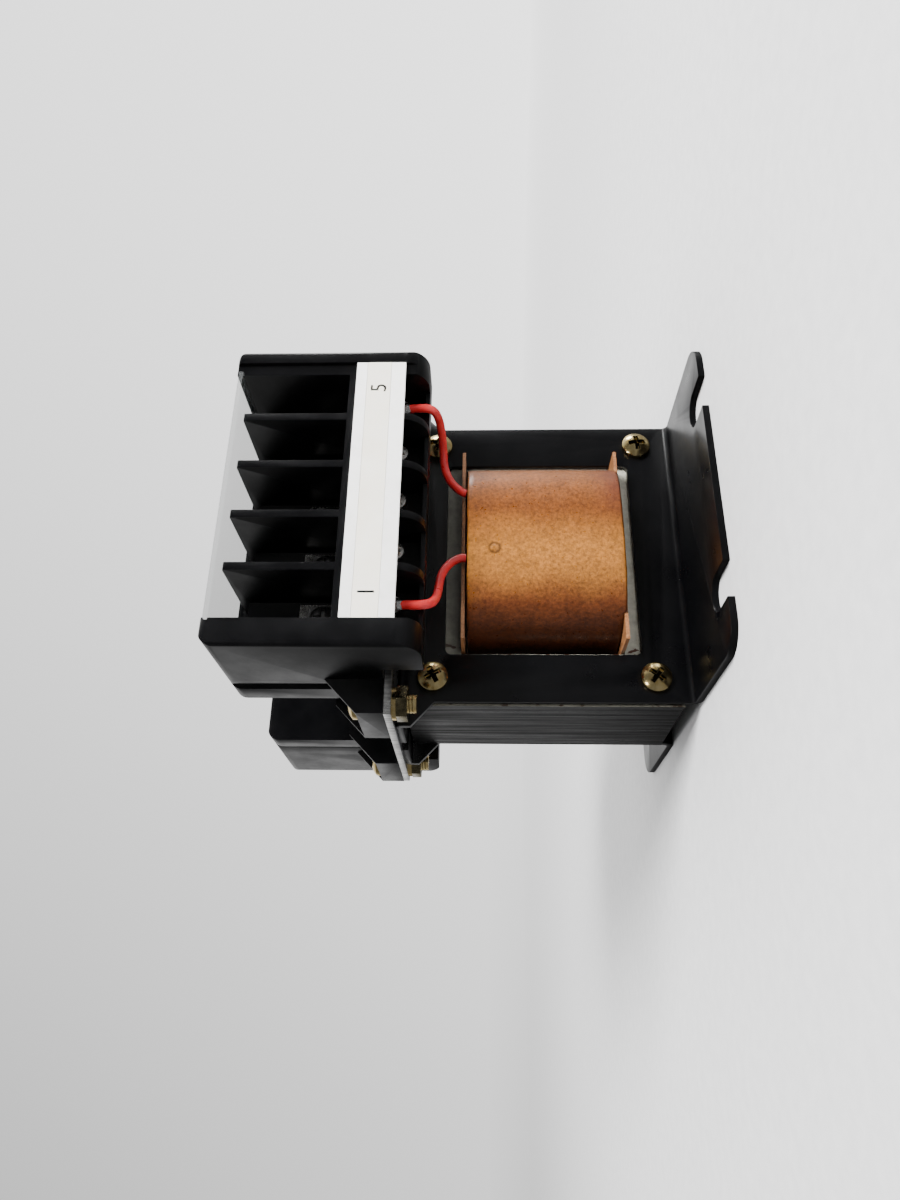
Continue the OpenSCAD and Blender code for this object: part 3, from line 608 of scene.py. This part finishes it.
def soften(node, width, degrees=32):
    """Stands a copy of a CAD node in its place, with its sharp edges slightly rounded."""
    bm = bmesh.new()
    bm.from_mesh(frame["nodes"][node].data)
    bmesh.ops.remove_doubles(bm, verts=bm.verts[:], dist=1e-6)
    bmesh.ops.dissolve_limit(bm, angle_limit=math.radians(0.6), verts=bm.verts[:], edges=bm.edges[:])
    look = FINISHES.get(node, slot_of(node))
    mesh = mesh_from(node + "_finished", bm)
    if node in DRIVEN:
        mesh = cut_recesses(mesh, look, *DRIVEN[node])
    piece = add_piece(node + "_finished", mesh, look)
    bevel = piece.modifiers.new("edges", "BEVEL")
    bevel.width = width * MM
    bevel.segments = 2
    bevel.limit_method = "ANGLE"
    bevel.angle_limit = math.radians(degrees)
    bevel.harden_normals = True
    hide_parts(node)


def catmull(points, steps):
    """Smooth curve through points, with steps pieces between each pair."""
    ends = [points[0] * 2 - points[1], *points, points[-1] * 2 - points[-2]]
    curve = []
    for a, b, c, d in zip(ends, ends[1:], ends[2:], ends[3:]):
        for i in range(steps):
            t = i / steps
            curve.append(0.5 * (2 * b + (c - a) * t + (2 * a - 5 * b + 4 * c - d) * t * t
                                + (3 * b - a - 3 * c + d) * t * t * t))
    return curve + [points[-1]]


def tube(bm, path, radius, sides=20):
    """Closed round tube along a path."""
    count = len(path)
    side = Vector((0, 1, 0))
    turn = [2 * math.pi * k / sides for k in range(sides)]
    rings = []
    for i, point in enumerate(path):
        along = (path[min(i + 1, count - 1)] - path[max(i - 1, 0)]).normalized()
        side = (side - along * side.dot(along)).normalized()
        up = along.cross(side)
        rings.append([bm.verts.new(point + (side * math.cos(a) + up * math.sin(a)) * radius)
                      for a in turn])
    for low, high in zip(rings, rings[1:]):
        for k in range(sides):
            bm.faces.new((low[k], low[(k + 1) % sides], high[(k + 1) % sides], high[k]))
    bm.faces.new(rings[0])
    bm.faces.new(list(reversed(rings[-1])))


# ---- coil -----------------------------------------------------------------------------------

def rounded(value):
    """One coordinate of the coil's rounded outline, from a sine or cosine."""
    return math.copysign(abs(value) ** (2 / OUTER_ROUND), value)


def coil_outline(grow, count):
    """Points round the coil, evenly spaced, on nearly the same rounded outline as its solid."""
    reach_x, reach_y = COIL_HIGH.x + grow, COIL_HIGH.y + grow
    dense = []
    for i in range(4 * count):
        t = 2 * math.pi * i / (4 * count)
        x = rounded(math.cos(t)) * (reach_x if math.cos(t) > 0 else reach_x - TIGHTER)
        dense.append(Vector((x, rounded(math.sin(t)) * reach_y, 0)))
    lengths = [(dense[i] - dense[i - 1]).length for i in range(len(dense))]
    total = sum(lengths)
    points, walked, want = [], 0.0, 0.0
    for i in range(len(dense)):
        step = lengths[(i + 1) % len(dense)]
        while want <= walked + step and len(points) < count:
            share = (want - walked) / step if step else 0
            points.append(dense[i].lerp(dense[(i + 1) % len(dense)], share))
            want += total / count
        walked += step
    return points


def wrap_relief(point, z):
    """How far the paper stands off its outline, in metres: slack waves and one blister."""
    # Waves of about 2 cm and wrinkles of a few millimetres
    low = noise.noise(Vector((point.x * 60, point.y * 60, z * 35)))
    fine = noise.noise(Vector((point.x * 260, point.y * 260, z * 120 + 7)))
    relief = (low * 0.16 + fine * 0.035) * MM
    if point.y < 0:
        away = math.hypot(point.x - BLISTER[0], z - BLISTER[2]) / BLISTER_RADIUS
        if away < 1.6:
            dome = math.exp(-(away * 1.5) ** 2) * 0.55
            moat = -0.10 * math.exp(-((away - 1.15) * 4) ** 2)
            relief += (dome + moat) * MM
    return relief


def make_wrap():
    """The outer paper, as a thick sleeve with slightly uneven ends over the end boards."""
    around, up = 300, 70
    # Room for the relief inside the coil's outline
    inset = 0.15 * MM
    past_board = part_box("lower_end_board")[1].y + 0.6 * MM
    outline = coil_outline(0, around)
    inside = coil_outline(-PAPER_WALL, around)
    bm = bmesh.new()
    rows = []
    for j in range(up + 1):
        share = j / up
        # The rows nearest the ends turn in a little
        edge = min(share, 1 - share) * up
        tuck = 0.0 if edge >= 2 else (0.16 if edge < 1 else 0.05) * MM
        row = []
        for point in outline:
            lap = PAPER_LAP if abs(point.y) > past_board else 0.0
            low = COIL_LOW.z - lap + 0.12 * MM * noise.noise(point * 180)
            high = COIL_HIGH.z + 0.15 * MM * noise.noise(point * 150 + Vector((3, 0, 0)))
            z = low + (high - low) * share
            outward = point.normalized() * (wrap_relief(point, z) - inset - tuck)
            row.append(bm.verts.new(point + outward + Vector((0, 0, z))))
        rows.append(row)
    low_rim = [bm.verts.new(Vector((p.x, p.y, COIL_LOW.z))) for p in inside]
    high_rim = [bm.verts.new(Vector((p.x, p.y, COIL_HIGH.z - 0.2 * MM))) for p in inside]
    loops = [low_rim, *rows, high_rim, low_rim]
    for low, high in zip(loops, loops[1:]):
        for k in range(around):
            n = (k + 1) % around
            bm.faces.new((low[k], low[n], high[n], high[k]))
    paper = mesh_from("coil_wrap_paper", bm)
    piece = add_piece("coil_wrap_paper", paper, "varnished_wrap")
    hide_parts("coil_wrap")


# ---- leads and terminals --------------------------------------------------------------------

def make_leads(side, sign):
    """The two red leads of one side, a hair thinner than their solids."""
    for name, route in ROUTES.items():
        points = [Vector((x, y * -sign, z)) * MM for x, y, z in route]
        bm = bmesh.new()
        tube(bm, catmull(points, 5), LEAD_RADIUS * LEAD_SHARE)
        node = f"{side}_lead_{name}"
        piece = add_piece(node + "_pvc", mesh_from(node + "_pvc", bm, sharp=50), "lead_red")
        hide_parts(node)


def make_solder(side, sign):
    """Bright beads where the first and last terminals take their leads."""
    for name, x in (("first", 2 * POLE_PITCH), ("last", -2 * POLE_PITCH)):
        middle = Vector((x, sign * (BRACKET_FACE + SOLDER_OUT), PLATE_TOP - SOLDER_DOWN))
        bm = bmesh.new()
        bmesh.ops.create_icosphere(bm, subdivisions=4, radius=1.0)
        for vert in bm.verts:
            swell = 1 + 0.14 * noise.noise(vert.co * 1.7 + Vector((x * 900, 0, 0)))
            vert.co = middle + vert.co * Vector(SOLDER_SIZE) * swell
        bead = f"{side}_solder_{name}"
        add_piece(bead, mesh_from(bead, bm), "solder")


def figure_mesh(figure):
    """One plain figure as a thin mesh, upright and facing -Y, with its middle at the origin."""
    curve = bpy.data.curves.new("figure", "FONT")
    curve.body = figure
    curve.size = FIGURE_SIZE
    curve.align_x = "CENTER"
    curve.extrude = INK_T
    text = bpy.data.objects.new("figure", curve)
    bpy.context.scene.collection.objects.link(text)
    bpy.context.view_layer.update()
    mesh = bpy.data.meshes.new_from_object(text)
    bpy.data.objects.remove(text)
    height = max(v.co.y for v in mesh.vertices)
    upright = Matrix.Rotation(math.pi / 2, 4, "X")
    mesh.transform(upright @ Matrix.Translation((0, -height / 2, 0)))
    return mesh


def make_figures():
    """Plain figures on the labels, at the first and the last terminal."""
    middle = (LABEL_LOW.z + LABEL_HIGH.z) / 2
    for side, sign in SIDES.items():
        about = Matrix.Rotation(math.pi if sign > 0 else 0, 4, "Z")
        for figure, x in FIGURES:
            mesh = figure_mesh(figure)
            place = (x * -sign, sign * (STRIP_FACE - INK_T), middle)
            mesh.transform(Matrix.Translation(place) @ about)
            add_piece(f"{side}_figure_{figure}", mesh, "ink")


# ---- threads --------------------------------------------------------------------------------

def thread(bm, place, start, end):
    """Helical ridge on a shank. place maps local coordinates, with Z along the shank."""
    per_turn = 28
    # Steps over which the ridge rises at its start and dies away at its end
    taper = 8
    count = int((end - start) / THREAD_PITCH * per_turn)
    previous = None
    for i in range(count + 1):
        angle = 2 * math.pi * i / per_turn
        z = start + THREAD_PITCH * i / per_turn
        fade = min(1.0, i / taper, (count - i) / taper)
        top = THREAD_ROOT + (THREAD_CREST - THREAD_ROOT) * fade
        # Radius, and place along the pitch
        profile = ((THREAD_ROOT, -0.42), (top, -0.06), (top, 0.06), (THREAD_ROOT, 0.42))
        ring = [bm.verts.new(place @ Vector((r * math.cos(angle), r * math.sin(angle),
                                             z + dz * THREAD_PITCH))) for r, dz in profile]
        if previous:
            for k in range(4):
                n = (k + 1) % 4
                bm.faces.new((previous[k], previous[n], ring[n], ring[k]))
        else:
            bm.faces.new(ring)
        previous = ring
    bm.faces.new(list(reversed(previous)))


def make_threads():
    """Threads on the stretches of the screws that stand past their nuts."""
    # The ridges start a little inside the nuts and stop short of the screws' ends
    inside, short = 0.2 * MM, 0.25 * MM
    nuts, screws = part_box("block_nuts"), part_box("block_screws")
    ear_x = (screws[1].x - screws[0].x) / 2 - HEAD_RADIUS
    ear_y = screws[1].y - HEAD_RADIUS
    bm = bmesh.new()
    for x in (-ear_x, ear_x):
        for y in (-ear_y, ear_y):
            thread(bm, Matrix.Translation((x, y, 0)), screws[0].z + short, nuts[0].z + inside)
    ridges = mesh_from("block_screw_threads", bm, False)
    add_piece("block_screw_threads", ridges, "yellow_zinc")
    nuts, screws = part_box("core_nuts"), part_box("core_screws")
    corner = Vector((HEAD_RADIUS, 0, HEAD_RADIUS))
    low, high = screws[0] + corner, screws[1] - corner
    lay = Matrix.Rotation(-math.pi / 2, 4, "X")
    bm = bmesh.new()
    for x in (low.x, high.x):
        for z in (low.z, high.z):
            thread(bm, Matrix.Translation((x, 0, z)) @ lay, nuts[1].y - inside, screws[1].y - short)
    ridges = mesh_from("core_screw_threads", bm, False)
    add_piece("core_screw_threads", ridges, "yellow_zinc")


# ---- dressing the solids --------------------------------------------------------------------

def dress_solids():
    """Gives each node its material, and rounds edges by a width in millimetres where they show."""
    for node, solid in frame["nodes"].items():
        solid.data.materials.clear()
        solid.data.materials.append(LOOKS[slot_of(node)])
    for side in SIDES:
        soften(f"{side}_terminal_block", 0.28)
        soften(f"{side}_bracket", 0.16)
        soften(f"{side}_marker_strip", 0.08)
        soften(f"{side}_cover", 0.08)
        soften(f"{side}_terminals", 0.06)
        soften(f"{side}_square_washers", 0.08)
        soften(f"{side}_terminal_screws", 0.1, 40)
    soften("terminal_plate", 0.1)
    for node in ("core_screws", "block_screws", "core_nuts", "block_nuts"):
        soften(node, 0.12, 40)


# ---- stage ----------------------------------------------------------------------------------

def ramp_of(tree, direction, place, start, end, low, high):
    """Value that runs from low to high as place goes from start to end along a direction."""
    along = tree.nodes.new("ShaderNodeVectorMath")
    along.operation = "DOT_PRODUCT"
    along.inputs[1].default_value = Vector(direction).normalized()
    tree.links.new(place, along.inputs[0])
    span = tree.nodes.new("ShaderNodeMapRange")
    for name, value in zip(("From Min", "From Max", "To Min", "To Max"), (start, end, low, high)):
        span.inputs[name].default_value = value
    tree.links.new(along.outputs["Value"], span.inputs["Value"])
    return span.outputs[0]


def backdrop_tone(tree, place):
    """Brightness of the seen backdrop by direction: darker up and toward -X."""
    return ramp_of(tree, (0.75, -0.2, -0.6), place, -0.6, 0.6, 0.75, 2.6)


def make_floor():
    """A wide pale table with a faint grain, which runs into the backdrop far out.

    Reflections see its front darker, as if the light stopped short of the table's near edge."""
    look = Look("pale_floor", (0.70, 0.70, 0.70), 0.62, Specular_IOR_Level=0.2)
    grain = look.noise(3.5, detail=3)
    pale = look.mix(look.span(grain, 0.3, 0.7), (0.68, 0.68, 0.685), (0.74, 0.74, 0.74))
    # Share of darkening in reflections, from 0.30 m behind the object to its front foot
    front = look.span(look.axis("Y"), 0.30, -0.06, 0.70, 0.96)
    mirrored = look.node("ShaderNodeLightPath").outputs["Is Glossy Ray"]
    look.color(look.mix(look.math("MULTIPLY", front, mirrored), pale, (0.02, 0.02, 0.02)))
    look.bump(grain, 0.25, 0.35)
    tree = look.tree
    away = look.node("ShaderNodeVectorMath", operation="LENGTH")
    tree.links.new(look.place, away.inputs[0])
    toward = look.node("ShaderNodeVectorMath", operation="NORMALIZE")
    tree.links.new(look.place, toward.inputs[0])
    glow = look.node("ShaderNodeEmission")
    tree.links.new(backdrop_tone(tree, toward.outputs[0]), glow.inputs["Strength"])
    blend = look.node("ShaderNodeMixShader")
    fade = look.span(away.outputs["Value"], *FLOOR_FADE)
    tree.links.new(look.math("MULTIPLY", fade, look.math("SUBTRACT", 1.0, mirrored)), blend.inputs[0])
    tree.links.new(look.shader.outputs[0], blend.inputs[1])
    tree.links.new(glow.outputs[0], blend.inputs[2])
    tree.links.new(blend.outputs[0], tree.nodes["Material Output"].inputs["Surface"])
    bm = bmesh.new()
    bmesh.ops.create_grid(bm, x_segments=2, y_segments=2, size=FLOOR_HALF)
    floor = bpy.data.objects.new("floor", mesh_from("floor", bm, False))
    floor.data.materials.append(look.material)
    bpy.context.scene.collection.objects.link(floor)


def make_world():
    """The camera sees a pale backdrop. Surfaces see it lit toward +X and +Y, and dim in front."""
    world = bpy.data.worlds.new("studio")
    bpy.context.scene.world = world
    world.use_nodes = True
    tree = world.node_tree
    background = tree.nodes["Background"]
    where = tree.nodes.new("ShaderNodeTexCoord").outputs["Generated"]
    path = tree.nodes.new("ShaderNodeLightPath")
    pick = tree.nodes.new("ShaderNodeMix")
    tree.links.new(path.outputs["Is Camera Ray"], pick.inputs["Factor"])
    room = ramp_of(tree, (0.7, 0.7, 0.1), where, -0.1, 1.0, WORLD_FRONT, WORLD_BACK)
    tree.links.new(room, pick.inputs[2])
    tree.links.new(backdrop_tone(tree, where), pick.inputs[3])
    tree.links.new(pick.outputs[0], background.inputs["Strength"])
    background.inputs["Color"].default_value = (1, 1, 1, 1)


def make_lights():
    """Soft square lamps that light surfaces, and small ones that only reflections see."""
    for name, place, side, power, glints in LAMPS:
        light = bpy.data.lights.new(name, "AREA")
        light.shape = "SQUARE"
        light.size = side
        light.energy = power
        lamp = bpy.data.objects.new(name, light)
        lamp.location = place
        lamp.visible_camera = False
        lamp.visible_glossy = glints
        lamp.visible_diffuse = not glints
        aim = Vector(LAMPS_AIM) - Vector(place)
        lamp.rotation_euler = aim.to_track_quat("-Z", "Y").to_euler()
        bpy.context.scene.collection.objects.link(lamp)


def make_camera():
    """The camera, rolled a quarter turn as the photographed object lies in its frame."""
    data = bpy.data.cameras.new("camera")
    data.lens = CAMERA_LENS
    data.sensor_width = CAMERA_SENSOR
    data.clip_start = 0.01
    camera = bpy.data.objects.new("camera", data)
    forward = CAMERA_FORWARD.normalized()
    right = (CAMERA_RIGHT - forward * CAMERA_RIGHT.dot(forward)).normalized()
    up = right.cross(forward)
    turn = Matrix((right, up, -forward)).transposed()
    camera.matrix_world = Matrix.Translation(CAMERA_PLACE) @ turn.to_4x4()
    bpy.context.scene.collection.objects.link(camera)
    bpy.context.scene.camera = camera


dress_solids()
make_wrap()
for SIDE, SIGN in SIDES.items():
    make_leads(SIDE, SIGN)
    make_solder(SIDE, SIGN)
make_figures()
make_threads()
make_floor()
make_world()
make_lights()
make_camera()
